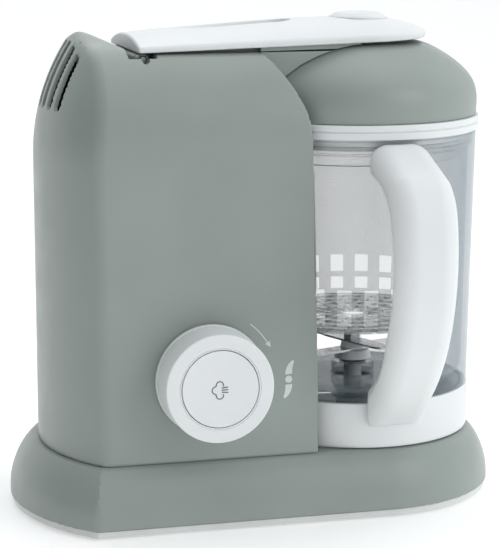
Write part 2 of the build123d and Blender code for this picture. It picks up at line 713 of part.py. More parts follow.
# ---------------------------------------------------------------- blade drive in the jug
with BuildPart() as driven_coupling:
    add(ring((JUG_X, 0), 9.0, 3.0, 41.9, 49.6))
    with Locations((JUG_X, 0, 39.7)):
        Box(18, TANG_WIDTH, 4.4)
keep("driven_coupling", driven_coupling.part)

keep("blade_shaft", ring((JUG_X, 0), 3.0, 0, 42.2, 88.6))
keep("blade_bush", ring((JUG_X, 0), 5.0, 3.0 + RUNNING, 50.0, 70.0))
keep("blade_seal", ring((JUG_X, 0), 7.4, 3.0 + 2 * RUNNING, 70.05, 71.6))

with BuildPart() as blade_hub:
    add(turned(((3.0, 72.0), (10.5, 72.0), (9.0, 76.6), (3.0, 76.6))))
    add(turned(((3.0, 77.8), (7.0, 77.8), (6.4, 81.0), (3.0, 81.0))))
keep("blade_hub", blade_hub.part)


def blade_arm(reach):
    """One swept blade arm lying along +X."""
    with BuildPart() as form:
        with BuildSketch():
            with BuildLine():
                Line((0, -5.5), (reach * 0.55, -6.0))
                ThreePointArc((reach * 0.55, -6.0), (reach * 0.86, -3.2), (reach, 4.5))
                ThreePointArc((reach, 4.5), (reach * 0.8, 3.2), (reach * 0.55, 4.5))
                Polyline((reach * 0.55, 4.5), (0, 5.5), (0, -5.5))
            make_face()
        extrude(amount=1.1)
    return form.part


with BuildPart() as blades:
    for level, turn, reach in ((76.65, 25, 40.0), (81.05, 115, 34.0)):
        for opposite in (0, 180):
            add(blade_arm(reach).rotate(Axis.Z, turn + opposite).moved(Location((JUG_X, 0, level))))
    add(ring((JUG_X, 0), 3.0, 0, 75, 84), mode=Mode.SUBTRACT)
keep("blades", blades.part)

with BuildPart() as blade_nut:
    with BuildSketch(Plane.XY.offset(82.2)):
        with Locations((JUG_X, 0)):
            RegularPolygon(5.2, 6)
            Circle(3.0, mode=Mode.SUBTRACT)
    extrude(amount=4.2)
keep("blade_nut", blade_nut.part)

# ---------------------------------------------------------------- jug
with BuildPart() as jug_body:
    add(turned(((0, JUG_FLOOR), (JUG_FOOT_RADIUS, JUG_FLOOR), (JUG_RIM_RADIUS, JUG_RIM), (64.2, JUG_RIM),
                (64.2, 194.2), (62.6, 193.0), (60.6, 66.0), (57.0, 63.6), (0, 63.6))))
    # skirt that the white ring is pressed on, and the boss for the blade bush
    add(ring((JUG_X, 0), 61.6, 59.4, 46.0, JUG_FLOOR + 0.5))
    add(ring((JUG_X, 0), 12.0, 0, 50.0, 70.0))
    add(ring((JUG_X, 0), 5.03, 0, 40.0, 80.0), mode=Mode.SUBTRACT)
keep("jug_body", jug_body.part)

with BuildPart() as jug_ring:
    add(turned(((61.7, JUG_BOTTOM), (63.6, JUG_BOTTOM), (RING_RADIUS, 36.8), (RING_RADIUS, RING_TOP - 0.6),
                (63.7, RING_TOP), (61.7, RING_TOP))))
keep("jug_ring", jug_ring.part)

# handle: a bent grip in the plane through the jug axis, leaning out from a slanted head to the ring
with BuildPart() as jug_handle:
    with BuildSketch(Plane.YZ):
        with BuildLine():
            Spline((-66.9, 200.2), (-72, 197.6), (-86, 191.2), (-98, 186.8), (-107, 179.5), (-113.8, 160),
                   (-112.6, 128), (-105.4, 100), (-91.8, 75), (-77.2, 58.5), (-64.4, 48.8))
            Line((-64.4, 48.8), (-64.4, 74.0))
            Spline((-64.4, 74.0), (-80.5, 87), (-89, 106), (-96.4, 131), (-94.2, 156), (-88, 169.5),
                   (-77, 177.0), (-66.9, 180.4))
            Line((-66.9, 180.4), (-66.9, 200.2))
        make_face()
    extrude(amount=HANDLE_WIDTH / 2, both=True)
    fillet(jug_handle.edges().filter_by_position(Axis.Y, -120, -78).filter_by(GeomType.BSPLINE), radius=7.0)
    # clear of the jug's own wall
    add(turned(((0, 30), (64.3, 30), (64.3, RING_TOP + 0.1), (64.1, 61.0), (66.75, JUG_RIM), (66.75, 205),
                (0, 205)), 0), mode=Mode.SUBTRACT)
keep("jug_handle", jug_handle.part.rotate(Axis.Z, HANDLE_ANGLE).moved(Location((JUG_X, 0, 0))))

with BuildPart() as steam_basket:
    add(turned(((0, BASKET_FLOOR), (55.0, BASKET_FLOOR), (59.4, 188.0), (61.4, 194.5), (63.9, 194.5),
                (63.9, 196.0), (60.0, 196.0), (57.7, 188.0), (53.6, BASKET_FLOOR + 1.8),
                (0, BASKET_FLOOR + 1.8))))
    with BuildSketch(Plane.XY.offset(BASKET_FLOOR)):
        with Locations((JUG_X, 0)):
            for radius, count in ((12, 8), (22, 14), (32, 20), (42, 26)):
                with PolarLocations(radius, count):
                    SlotOverall(6.0, 2.6)
    extrude(amount=2, mode=Mode.SUBTRACT)
    for level, height in ((100.5, 7.0), (110.5, 10.0)):
        with Locations((JUG_X, 0, level + height / 2)):
            with PolarLocations(56, 24):
                Box(8, 3.2, height, mode=Mode.SUBTRACT)
keep("steam_basket", steam_basket.part)

# ---------------------------------------------------------------- lid
with BuildPart() as lid_collar:
    add(turned(((60.4, 202.4), (62.0, 202.4), (62.0, 198.4), (63.8, 198.4), (63.8, 202.0), (67.3, 202.0),
                (COLLAR_RADIUS, 202.4), (COLLAR_RADIUS, 206.0), (67.0, 206.2), (67.0, 206.6),
                (67.9, 206.8), (67.9, 209.6), (67.4, 210.0), (60.4, 210.0))))
keep("lid_collar", lid_collar.part)

keep("lid_seal", ring((JUG_X, 0), 64.0, 61.0, 196.4, 198.3))

with BuildPart() as lid_dome:
    with BuildSketch(Plane.XZ):
        with BuildLine():
            Line((60.6, 210.1), DOME[0])
            Spline(*DOME, (DOME_FLAT, DOME_TOP), tangents=[(0, 1), (-1, 0.12)])
            Line((DOME_FLAT, DOME_TOP), (0, DOME_TOP))
            Line((0, DOME_TOP), (0, DOME_TOP - WALL))
            Line((0, DOME_TOP - WALL), (DOME_FLAT - 1, DOME_TOP - WALL))
            Spline((DOME_FLAT - 1, DOME_TOP - WALL), (46.0, 241.4), (57.0, 232.9), (62.4, 225.5),
                   (64.0, 214.0), tangents=[(1, -0.15), (0.02, -1)])
            Polyline((64.0, 214.0), (64.0, 212.0), (60.6, 212.0), (60.6, 210.1))
        make_face()
    revolve(axis=Axis.Z)
    add(side_ring((0, NOZZLE_Z), 4.0, 0, -70, -50), mode=Mode.SUBTRACT)
keep("lid_dome", lid_dome.part.moved(Location((JUG_X, 0, 0))))

# ---------------------------------------------------------------- arm
with BuildPart() as arm_cavity:
    add(arm_form(ARM_SKIN))
    add(finger_scoop(1.8), mode=Mode.SUBTRACT)

with BuildPart() as arm_cover:
    add(arm_form(0))
    add(arm_cavity.part, mode=Mode.SUBTRACT)
    add(finger_scoop(0), mode=Mode.SUBTRACT)
    add(ring((BUTTON_X, 0), BUTTON_RADIUS + 0.4, 0, 255, 275), mode=Mode.SUBTRACT)
keep("arm_cover", arm_cover.part)

# grey edge of the tray that shows between the tower and the lid
with BuildPart() as tray_edge:
    with BuildSketch(Plane.XZ):
        with BuildLine():
            Polyline((-3.2, 247.3), (52, 248.1), (52, arm_underside(52) - 0.15),
                     (-3.2, arm_underside(-3.2) - 0.15), close=True)
        make_face()
    extrude(amount=35.4, both=True)
    add(dome_room, mode=Mode.SUBTRACT)

with BuildPart() as arm_tray:
    # flat underside, seated in the cover, then a sunk tub over the deck pocket
    with BuildSketch(Plane.XY.offset(230)):
        with BuildLine():
            Polyline((JUG_X, -TRAY_HALF_WIDTH), (-58, -TRAY_HALF_WIDTH), (-58, TRAY_HALF_WIDTH),
                     (JUG_X, TRAY_HALF_WIDTH))
            ThreePointArc((JUG_X, TRAY_HALF_WIDTH), (JUG_X + TRAY_HALF_WIDTH, 0), (JUG_X, -TRAY_HALF_WIDTH))
        make_face()
    extrude(amount=30)
    with BuildSketch(Plane.XZ):
        with BuildLine():
            Polyline((-60, arm_underside(-60) - 0.2), (99, arm_underside(99) - 0.2),
                     (99, arm_underside(99) + 1.3), (-60, arm_underside(-60) + 1.3), close=True)
        make_face()
    extrude(amount=60, both=True, mode=Mode.INTERSECT)
    add(tray_edge.part)
    add(block((-59.5, -31, 243.3), (0.5, 31, arm_underside(-59.5) + 0.5)))
    add(block((-58, -29.5, 244.8), (-1, 29.5, 260)), mode=Mode.SUBTRACT)
    add(ring((BUTTON_X, 0), 4.4, 0, 240, 260), mode=Mode.SUBTRACT)
    # knuckles on the hinge pin
    for low, high in ARM_KNUCKLES:
        add(front_ring(HINGE, KNUCKLE_RADIUS, 0, low, high))
        add(block((HINGE[0], low, 243.3), (-58.5, high, 246.4)))
    add(front_ring(HINGE, PIN_RADIUS + 0.05, 0, -40, 40), mode=Mode.SUBTRACT)
    # slot for the latch hook
    add(block((-4.6, -5.2, 240), (2.6, 5.2, 252)), mode=Mode.SUBTRACT)
keep("arm_tray", arm_tray.part)

with BuildPart() as filler_seal:
    add(ring((FILLER_X, 0), 12.4, 0, 242.5, 243.25))
    add(ring((FILLER_X, 0), 6.6, 0, 241.4, 242.5))
keep("filler_seal", filler_seal.part)

with BuildPart() as release_button:
    with BuildSketch(Plane.XZ):
        with BuildLine():
            Polyline((0, 265.2), (11.5, 264.8), (14.6, 264.0), (BUTTON_RADIUS, 262.4), (BUTTON_RADIUS, 257.6),
                     (14.0, 257.6), (14.0, 261.6), (10.0, 262.8), (0, 263.0), close=True)
        make_face()
    revolve(axis=Axis.Z)
    add(ring((0, 0), 4.0, 0, 251.6, 263.5))
    # wedge that pushes the latch bar
    with BuildSketch(Plane.XZ):
        with BuildLine():
            Polyline((-11.4, 263.2), (-11.4, 257.0), (-9.2, 259.2), (-9.2, 263.2), close=True)
        make_face()
    extrude(amount=3, both=True)
keep("release_button", release_button.part.moved(Location((BUTTON_X, 0, 0))))

keep("release_spring", coil_spring(6.0, 0.5, 8.4, 4, Location((BUTTON_X, 0, 253.5))))

with BuildPart() as latch_bar:
    add(block((-28, -4, 253.5), (52.0, 4, 254.5)))
    add(block((-2.6, -4, 238.2), (-1.4, 4, 253.6)))
    add(block((-3.4, -4, 238.2), (-2.6, 4, 239.6)))
    with BuildSketch(Plane.XZ):
        with BuildLine():
            Polyline((48.6, 254.5), (51.2, 257.1), (52.0, 257.1), (52.0, 254.5), close=True)
        make_face()
    extrude(amount=3, both=True)
keep("latch_bar", latch_bar.part)

# ---------------------------------------------------------------- export
for name, part in PARTS.items():
    export_step(part, f"parts/{name}.step")
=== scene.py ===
"""Baby food maker: the shells, the clear jug and every finish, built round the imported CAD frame.

Shapes are worked out in millimetres, in the frame of the CAD, and become metres when a mesh is made.
A moulded shell is described by a signed distance, negative inside, so that its edges get a real
moulding radius. Round pieces are turned from a profile whose corners are filleted.
"""

import json
import math

import bmesh
import bpy
import numpy as np
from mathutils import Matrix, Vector


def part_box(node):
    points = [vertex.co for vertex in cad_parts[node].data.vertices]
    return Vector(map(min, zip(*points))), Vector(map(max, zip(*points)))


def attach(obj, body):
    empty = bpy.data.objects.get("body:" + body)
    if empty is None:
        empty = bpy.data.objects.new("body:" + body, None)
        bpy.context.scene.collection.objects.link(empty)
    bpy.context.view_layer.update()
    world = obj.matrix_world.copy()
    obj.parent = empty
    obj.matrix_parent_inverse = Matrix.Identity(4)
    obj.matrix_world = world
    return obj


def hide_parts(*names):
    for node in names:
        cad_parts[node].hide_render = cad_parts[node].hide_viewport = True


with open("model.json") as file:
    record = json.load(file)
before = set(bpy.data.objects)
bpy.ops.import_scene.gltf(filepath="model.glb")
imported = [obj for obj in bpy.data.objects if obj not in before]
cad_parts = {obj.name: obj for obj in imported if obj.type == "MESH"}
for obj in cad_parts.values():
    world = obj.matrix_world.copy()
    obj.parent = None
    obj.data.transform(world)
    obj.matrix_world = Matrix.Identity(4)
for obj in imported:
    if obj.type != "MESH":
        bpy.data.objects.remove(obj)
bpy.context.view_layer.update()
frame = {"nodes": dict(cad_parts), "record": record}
MM = 0.001


def box_mm(node):
    low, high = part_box(node)
    return low / MM, high / MM


# ---------------------------------------------------------------- driving sizes, in mm
JUG_X = sum(corner.x for corner in box_mm("jug_ring")) / 2
BASE_LOW, BASE_TOP = (corner.z for corner in box_mm("base_shell"))
KNOB_X = sum(corner.x for corner in box_mm("knob")) / 2
KNOB_Z = sum(corner.z for corner in box_mm("knob")) / 2
BUTTON_X = sum(corner.x for corner in box_mm("release_button")) / 2
HINGE_X = sum(corner.x for corner in box_mm("hinge_pin")) / 2
HINGE_Z = sum(corner.z for corner in box_mm("hinge_pin")) / 2
WALL = 2.5

# base: depth of its outline, and how far its flared side has moved in at each height
BASE_HALF_DEPTH = 76.0
BASE_LEFT = (-30.0, 104.0)  # centre and radius of the bulged left end
BASE_FLARE = ((4.4, 14.0, 24.0, 31.0, 35.3), (0.0, 0.6, 3.8, 8.0, 12.0))

# tower: the arch is straight below its spring and a polar curve above it
SPRING_Z = 200.0
ARCH_ANGLES = (0, 21, 36, 51, 67.6, 78.8, 90)
ARCH_RADII = (60.93, 61.3, 61.2, 60.4, 57.8, 56.8, 57.6)
ARCH_TAPER = 0.0132
TOWER_END = (-22.0, 96.0)  # centre and radius of the bulged left end
LEAN = (-5.0, 190.0)  # axis about which that end leans over
RECESS_RADIUS = 73.0
RAMP = (-74.5, 249.4, 0.4513)  # foot of the ramp behind the arm, and its slope
DECK = 247.0
POCKET_FLOOR = 242.5
POCKET_HALF_WIDTH = 32.5
HINGE_POCKET_FLOOR = 240.4
HINGE_POCKET_HALF_WIDTH = 39.5
CEILING = 238.5  # top of the hollow under the deck
CHAMBER_RIGHT = -92.0  # the hollow reaches higher to the left of this
TOWER_CORNER = 3.4
VENT_CENTRES = (-26.0, -15.5, -5.0, 5.0, 15.5, 26.0)
VENT_HALF_WIDTH = 2.8
VENT_LOWEST = 220.4  # centre of each vent's round lower end
VENT_HIGHEST = 252.2  # top of a vent in the middle; the others stop lower, as the arch falls
VENT_FALL = 0.0095
VENT_RIGHT = -95.4
VENT_WALL = 2.2
KNUCKLES = ((-30, 4.0), (0, 5.0), (30, 4.0))  # centre and half-width of each hinge knuckle
KNUCKLE_RADIUS = 3.2
PIN_HOLE = 1.7
FILLER_X = -44.0
FILLER_HOLE = 10.2
FILLER_SEAT = (13.2, 240.5)  # radius and floor of the sunk seat round the filler hole
KNOB_HOLE = 8.4

# openings in the base
MOTOR_OPENING = (-70.0, 12.0, 18.0)  # x, y and radius
SPINDLE_BOSS = 11.5
SPINDLE_HOLE = 8.0
GLAND_HOLE = (-62.0, 18.0, 6.0)  # x, z and radius

# arm
ARM_LEFT = -69.0
ARM_HALF_WIDTH = 38.0
ARM_SKIN = 2.2
RIDGE = ((-71, -58, -28, 3, 35, 60, 98), (255.4, 256.7, 258.9, 261.0, 262.5, 263.0, 263.2))

BUTTON_HOLE = 16.4
SCOOP_RIGHT = 11.5
SCOOP_HALF_WIDTH = 10.5

HANDLE_ANGLE = math.radians(2.9)
HANDLE_HALF_WIDTH = 18.2
HANDLE_ROUNDING = 12.0


# ---------------------------------------------------------------- curves and distances
def smooth_curve(xs, ys):
    """The natural cubic spline through the points, as a function; it runs on straight past both ends."""
    xs, ys = np.array(xs, float), np.array(ys, float)
    gaps, steps = np.diff(xs), np.diff(ys)
    system, target = np.eye(len(xs)), np.zeros(len(xs))
    for i in range(1, len(xs) - 1):
        system[i, i - 1 : i + 2] = gaps[i - 1], 2 * (gaps[i - 1] + gaps[i]), gaps[i]
        target[i] = 6 * (steps[i] / gaps[i] - steps[i - 1] / gaps[i - 1])
    bend = np.linalg.solve(system, target)

    def curve(x):
        inner = np.clip(x, xs[0], xs[-1])
        i = np.clip(np.searchsorted(xs, inner) - 1, 0, len(gaps) - 1)
        left, right, gap = inner - xs[i], xs[i + 1] - inner, gaps[i]
        value = (bend[i] * right**3 + bend[i + 1] * left**3) / (6 * gap)
        value += (ys[i] / gap - bend[i] * gap / 6) * right
        value += (ys[i + 1] / gap - bend[i + 1] * gap / 6) * left
        first = steps[0] / gaps[0] - gaps[0] * bend[1] / 6
        last = steps[-1] / gaps[-1] + gaps[-1] * bend[-2] / 6
        return value + first * np.minimum(x - xs[0], 0) + last * np.maximum(x - xs[-1], 0)

    return curve


def both(a, b, radius=0.0):
    """What is inside a and b, with the edge between them rounded."""
    if radius == 0:
        return np.maximum(a, b)
    corner = np.hypot(np.maximum(a + radius, 0), np.maximum(b + radius, 0)) - radius
    return np.where(np.maximum(a, b) > -radius, corner, np.maximum(a, b))


def without(a, b, radius=0.0):
    """What is inside a but not b, with the rim rounded."""
    return both(a, -b, radius)


def slab(value, low, high):
    return np.maximum(low - value, value - high)


def block(x, y, z, low, high):
    return both(both(slab(x, low[0], high[0]), slab(y, low[1], high[1])), slab(z, low[2], high[2]))


def outline_distance(outline):
    """Signed distance to a closed outline of (u, v) points, as a function of u and v."""
    starts = np.array(outline, float)
    ends = np.roll(starts, -1, axis=0)

    def distance(u, v):
        nearest = np.full(np.shape(u), 1e9)
        inside = np.zeros(np.shape(u), bool)
        for (u0, v0), (u1, v1) in zip(starts, ends):
            run, rise = u1 - u0, v1 - v0
            along = np.clip(((u - u0) * run + (v - v0) * rise) / (run**2 + rise**2 + 1e-12), 0, 1)
            nearest = np.minimum(nearest, (u - u0 - along * run) ** 2 + (v - v0 - along * rise) ** 2)
            if rise != 0:
                inside ^= ((v0 > v) != (v1 > v)) & (u < u0 + (v - v0) * run / rise)
        return np.where(inside, -1, 1) * np.sqrt(nearest)

    return distance


def flowing(points, count):
    """Points spread along a smooth curve through the given ones."""
    points = np.array(points, float)
    travel = np.concatenate(([0], np.cumsum(np.linalg.norm(np.diff(points, axis=0), axis=1))))
    spread = np.linspace(0, travel[-1], count)
    return np.stack([smooth_curve(travel, points[:, k])(spread) for k in range(2)], axis=1)


# ---------------------------------------------------------------- making meshes
def mesh_object(name, points, faces, normals=None):
    mesh = bpy.data.meshes.new(name)
    mesh.from_pydata((np.asarray(points, float) * MM).tolist(), [], np.asarray(faces).tolist())
    mesh.polygons.foreach_set("use_smooth", [True] * len(mesh.polygons))
    if normals is not None:
        mesh.normals_split_custom_set_from_vertices(normals.tolist())
    made = bpy.data.objects.new(name, mesh)
    bpy.context.scene.collection.objects.link(made)
    return made


def moulded(name, distance, low, high, step):
    """A closed mesh of the surface where distance(x, y, z) is zero, with its exact normals."""
    axes = [np.arange(a - 2 * step, b + 3 * step, step) for a, b in zip(low, high)]
    field = distance(*np.meshgrid(*axes, indexing="ij"))
    inside = field < 0
    size = np.array(field.shape) - 1
    corners = [np.array((i, j, k)) for i in (0, 1) for j in (0, 1) for k in (0, 1)]
    count = np.zeros(size, np.int8)
    for corner in corners:
        count += inside[tuple(slice(c, c + n) for c, n in zip(corner, size))]
    mixed = (count > 0) & (count < 8)
    cells = np.argwhere(mixed)
    number = np.full(size, -1)
    number[mixed] = np.arange(len(cells))

    # one vertex a cell, at the middle of the places where the cell's edges cross the surface
    total, hits = np.zeros((len(cells), 3)), np.zeros(len(cells))
    for corner in corners:
        for axis in np.flatnonzero(corner == 0):
            far = corner + np.eye(3, dtype=int)[axis]
            near_value, far_value = field[tuple((cells + corner).T)], field[tuple((cells + far).T)]
            cross = (near_value < 0) != (far_value < 0)
            part = near_value[cross] / (near_value[cross] - far_value[cross])
            total[cross] += corner + part[:, None] * (far - corner)
            hits[cross] += 1
    points = np.array([axis[0] for axis in axes]) + (cells + total / hits[:, None]) * step

    # one face for each grid edge that crosses the surface
    faces = []
    for axis in range(3):
        u, v = np.eye(3, dtype=int)[(axis + 1) % 3], np.eye(3, dtype=int)[(axis + 2) % 3]
        before = np.take(inside, range(size[axis]), axis=axis)
        after = np.take(inside, range(1, size[axis] + 1), axis=axis)
        for leaving in (True, False):
            spots = np.argwhere((before != after) & (before == leaving))
            ring = [spots - u - v, spots - v, spots, spots - u]
            quads = np.stack([number[tuple(cell.T)] for cell in ring], axis=1)
            faces.append(quads if leaving else quads[:, ::-1])

    def slope(spots):
        h = 0.02
        sides = [distance(*(spots + h * e).T) - distance(*(spots - h * e).T) for e in np.eye(3)]
        return np.stack(sides, axis=1) / (2 * h)

    for _ in range(3):
        gradient = slope(points)
        move = gradient * (distance(*points.T) / np.maximum((gradient**2).sum(1), 0.2))[:, None]
        length = np.linalg.norm(move, axis=1, keepdims=True)
        points = points - move * np.minimum(1, 0.5 * step / np.maximum(length, 1e-9))
    normals = slope(points)
    normals /= np.maximum(np.linalg.norm(normals, axis=1, keepdims=True), 1e-9)
    return mesh_object(name, points, np.concatenate(faces), normals)


def filleted(corners):
    """A profile through (radius, height, fillet) corners, as points; the fillet may be left out."""
    path = []
    for i, corner in enumerate(corners):
        here = np.array(corner[:2], float)
        fillet = corner[2] if len(corner) > 2 else 0
        if fillet == 0 or i in (0, len(corners) - 1):
            path.append(here)
            continue
        before, after = np.array(corners[i - 1][:2], float), np.array(corners[i + 1][:2], float)
        toward_before = (before - here) / np.linalg.norm(before - here)
        toward_after = (after - here) / np.linalg.norm(after - here)
        half = math.acos(np.clip(toward_before @ toward_after, -1, 1)) / 2
        reach = fillet / math.tan(half)
        reach = min(reach, 0.49 * np.linalg.norm(before - here), 0.49 * np.linalg.norm(after - here))
        for t in np.linspace(0, 1, 7):
            start, end = here + reach * toward_before, here + reach * toward_after
            path.append((1 - t) ** 2 * start + 2 * t * (1 - t) * here + t**2 * end)
    return np.array(path)


def turned(name, profile, centre=(JUG_X, 0.0, 0.0), toward=(0, 0, 1), segments=180, closed=False):
    """A piece turned from a profile of (radius, height) points about an axis through centre."""
    axis = Vector(toward)
    side = Vector((1, 0, 0))
    other = axis.cross(side)
    rows = []
    for radius, height in profile:
        ring = [2 * math.pi * k / segments for k in range(segments)]
        middle = Vector(centre) + axis * height
        rows.append([middle + side * (radius * math.cos(a)) + other * (radius * math.sin(a)) for a in ring])
    points = [tuple(p) for row in rows for p in row]
    faces = []
    count = len(rows)
    for i in range(count if closed else count - 1):
        for k in range(segments):
            near, far = (k + 1) % segments, (i + 1) % count
            faces.append((i * segments + k, i * segments + near, far * segments + near, far * segments + k))
    made = mesh_object(name, points, faces)
    tidy = bmesh.new()
    tidy.from_mesh(made.data)
    bmesh.ops.remove_doubles(tidy, verts=tidy.verts, dist=1e-6)
    bmesh.ops.recalc_face_normals(tidy, faces=tidy.faces)
    tidy.to_mesh(made.data)
    tidy.free()
    even = made.modifiers.new("even_normals", "WEIGHTED_NORMAL")
    even.keep_sharp = False
    return made


# ---------------------------------------------------------------- finishes
def new_material(name):
    material = bpy.data.materials.new(name)
    material.use_nodes = True
    tree = material.node_tree
    return material, tree.nodes, tree.links, tree.nodes["Principled BSDF"]


def noise(nodes, links, place, scale, detail=3.0, stretch=None):
    """A noise in object space, in features per metre; stretch squeezes it along the axes."""
    texture = nodes.new("ShaderNodeTexNoise")
    texture.inputs["Scale"].default_value = scale
    texture.inputs["Detail"].default_value = detail
    if stretch:
        mapping = nodes.new("ShaderNodeMapping")
        mapping.inputs["Scale"].default_value = stretch
        links.new(place, mapping.inputs["Vector"])
        place = mapping.outputs["Vector"]
    links.new(place, texture.inputs["Vector"])
    return texture.outputs["Fac"]


def ramp(nodes, links, value, stops):
    colours = nodes.new("ShaderNodeValToRGB")
    for element, (position, colour) in zip(colours.color_ramp.elements, stops):
        element.position = position
        element.color = (*colour, 1)
    links.new(value, colours.inputs["Fac"])
    return colours.outputs["Color"]


def graded(nodes, links, value, low, high):
    """value from about 0.3..0.7 spread over low..high."""
    spread = nodes.new("ShaderNodeMapRange")
    spread.inputs["From Min"].default_value = 0.3
    spread.inputs["From Max"].default_value = 0.7
    spread.inputs["To Min"].default_value = low
    spread.inputs["To Max"].default_value = high
    links.new(value, spread.inputs["Value"])
    return spread.outputs["Result"]


def bumped(nodes, links, shader, height, depth, under=None):
    bump = nodes.new("ShaderNodeBump")
    bump.inputs["Strength"].default_value = 1.0
    bump.inputs["Distance"].default_value = depth
    links.new(height, bump.inputs["Height"])
    if under:
        links.new(under, bump.inputs["Normal"])
    links.new(bump.outputs["Normal"], shader.inputs["Normal"])
    return bump.outputs["Normal"]


def moulded_plastic(name, colour, roughness, grain=2600.0, grain_depth=0.00002, shift=0.04, paler_edges=0.0):
    """Injection-moulded plastic: a fine spark grain, faint clouding, and convex edges a little paler."""
    material, nodes, links, shader = new_material(name)
    place = nodes.new("ShaderNodeTexCoord").outputs["Object"]
    clouds = noise(nodes, links, place, 22.0, 2.0)
    darker = [channel * (1 - shift) for channel in colour]
    paler = [min(1.0, channel * (1 + shift)) for channel in colour]
    tone = ramp(nodes, links, clouds, ((0.3, darker), (0.7, paler)))
    # convex edges, found by pointiness, are mixed a little towards a paler tone
    if paler_edges > 0:
        edge = nodes.new("ShaderNodeMapRange")
        edge.inputs["From Min"].default_value = 0.53
        edge.inputs["From Max"].default_value = 0.64
        edge.inputs["To Max"].default_value = paler_edges
        links.new(nodes.new("ShaderNodeNewGeometry").outputs["Pointiness"], edge.inputs["Value"])
        paler_edge_mix = nodes.new("ShaderNodeMix")
        paler_edge_mix.data_type = "RGBA"
        links.new(edge.outputs["Result"], paler_edge_mix.inputs["Factor"])
        links.new(tone, paler_edge_mix.inputs["A"])
        paler_edge_mix.inputs["B"].default_value = (*[min(1.0, 0.25 + 0.85 * channel) for channel in colour], 1)
        tone = paler_edge_mix.outputs["Result"]
    links.new(tone, shader.inputs["Base Color"])
    handled = noise(nodes, links, place, 75.0, 4.0)
    links.new(graded(nodes, links, handled, roughness - 0.04, roughness + 0.05), shader.inputs["Roughness"])
    waves = bumped(nodes, links, shader, noise(nodes, links, place, 35.0, 1.0), 0.00002)
    bumped(nodes, links, shader, noise(nodes, links, place, grain, 2.0), grain_depth, waves)
    return material


def clear_plastic(name, tint, roughness, face_on, at_rim):
    """Clear moulded plastic: light goes straight through, less so where the wall is seen edge-on."""
    material, nodes, links, shader = new_material(name)
    place = nodes.new("ShaderNodeTexCoord").outputs["Object"]
    flow = noise(nodes, links, place, 30.0, 2.0, stretch=(1, 1, 0.25))
    darker = [channel * 0.96 for channel in tint]
    links.new(ramp(nodes, links, flow, ((0.3, darker), (0.7, tint))), shader.inputs["Base Color"])
    marks = noise(nodes, links, place, 120.0, 5.0)
    links.new(graded(nodes, links, marks, roughness, roughness + 0.03), shader.inputs["Roughness"])
    bumped(nodes, links, shader, flow, 0.00008)
    body = nodes.new("ShaderNodeMapRange")
    body.inputs["From Min"].default_value = 0.15
    body.inputs["To Min"].default_value = face_on
    body.inputs["To Max"].default_value = at_rim
    links.new(nodes.new("ShaderNodeLayerWeight").outputs["Facing"], body.inputs["Value"])
    share = nodes.new("ShaderNodeMixShader")
    links.new(body.outputs["Result"], share.inputs["Fac"])
    links.new(nodes.new("ShaderNodeBsdfTransparent").outputs["BSDF"], share.inputs[1])
    links.new(shader.outputs["BSDF"], share.inputs[2])
    links.new(share.outputs["Shader"], nodes["Material Output"].inputs["Surface"])
    return material


def brushed_metal(name, colour, roughness, stretch=(1, 1, 12), depth=0.000012):
    """Machined or drawn metal with fine lines across one axis and faint handling marks."""
    material, nodes, links, shader = new_material(name)
    place = nodes.new("ShaderNodeTexCoord").outputs["Object"]
    lines = noise(nodes, links, place, 420.0, 4.0, stretch=stretch)
    darker = [channel * 0.82 for channel in colour]
    links.new(ramp(nodes, links, lines, ((0.3, darker), (0.7, colour))), shader.inputs["Base Color"])
    stains = noise(nodes, links, place, 90.0, 5.0)
    links.new(graded(nodes, links, stains, roughness - 0.06, roughness + 0.1), shader.inputs["Roughness"])
    bumped(nodes, links, shader, lines, depth)
    shader.inputs["Metallic"].default_value = 1.0
    return material


SAGE = moulded_plastic("sage_plastic", (0.295, 0.335, 0.312), 0.36, grain=2400, shift=0.03, paler_edges=0.2)
# a dark copy of the sage, painted on as the shade inside the vents and the chamber behind them
SAGE_PAINTED_SHADE = moulded_plastic("sage_painted_shade", (0.055, 0.06, 0.055), 0.6, shift=0.1)
WHITE = moulded_plastic("white_plastic", (0.80, 0.82, 0.825), 0.42, grain_depth=0.000004, shift=0.012)
WHITE_SATIN = moulded_plastic(
    "white_plastic_satin", (0.80, 0.82, 0.825), 0.42, grain_depth=0.000012, shift=0.015)
PALE = moulded_plastic("pale_plate_plastic", (0.74, 0.76, 0.74), 0.45)
INK = moulded_plastic("pale_printing_ink", (0.62, 0.68, 0.65), 0.5, grain=4000, shift=0.05)
DARK_INK = moulded_plastic("grey_printing_ink", (0.11, 0.12, 0.125), 0.5, grain=4000, shift=0.06)
CLEAR = clear_plastic("clear_jug_plastic", (0.34, 0.40, 0.44), 0.06, 0.03, 0.8)
MILKY = clear_plastic("milky_basket_plastic", (0.90, 0.915, 0.915), 0.2, 0.2, 0.6)
GREY_INNER = moulded_plastic("grey_inner_plastic", (0.30, 0.33, 0.315), 0.5)
BLACK = moulded_plastic("black_plastic", (0.035, 0.036, 0.038), 0.5, shift=0.15)
RUBBER = moulded_plastic("dark_rubber", (0.06, 0.06, 0.06), 0.75, grain=1500, grain_depth=0.00004, shift=0.2)
SILICONE = moulded_plastic("pale_silicone", (0.58, 0.6, 0.6), 0.55, grain=1800, grain_depth=0.00003)
FERRITE = moulded_plastic(
    "dark_ferrite", (0.07, 0.07, 0.075), 0.65, grain=900, grain_depth=0.00005, shift=0.15)
BOARD = moulded_plastic(
    "green_board_lacquer", (0.02, 0.16, 0.06), 0.35, grain=700, grain_depth=0.00005, shift=0.2)
STEEL = brushed_metal("drawn_steel", (0.55, 0.55, 0.56), 0.34)
BLADE_STEEL = brushed_metal("ground_blade_steel", (0.66, 0.66, 0.67), 0.22, stretch=(8, 1, 1))
CAST = brushed_metal("cast_aluminium", (0.6, 0.6, 0.6), 0.5, stretch=(1, 1, 1), depth=0.00004)
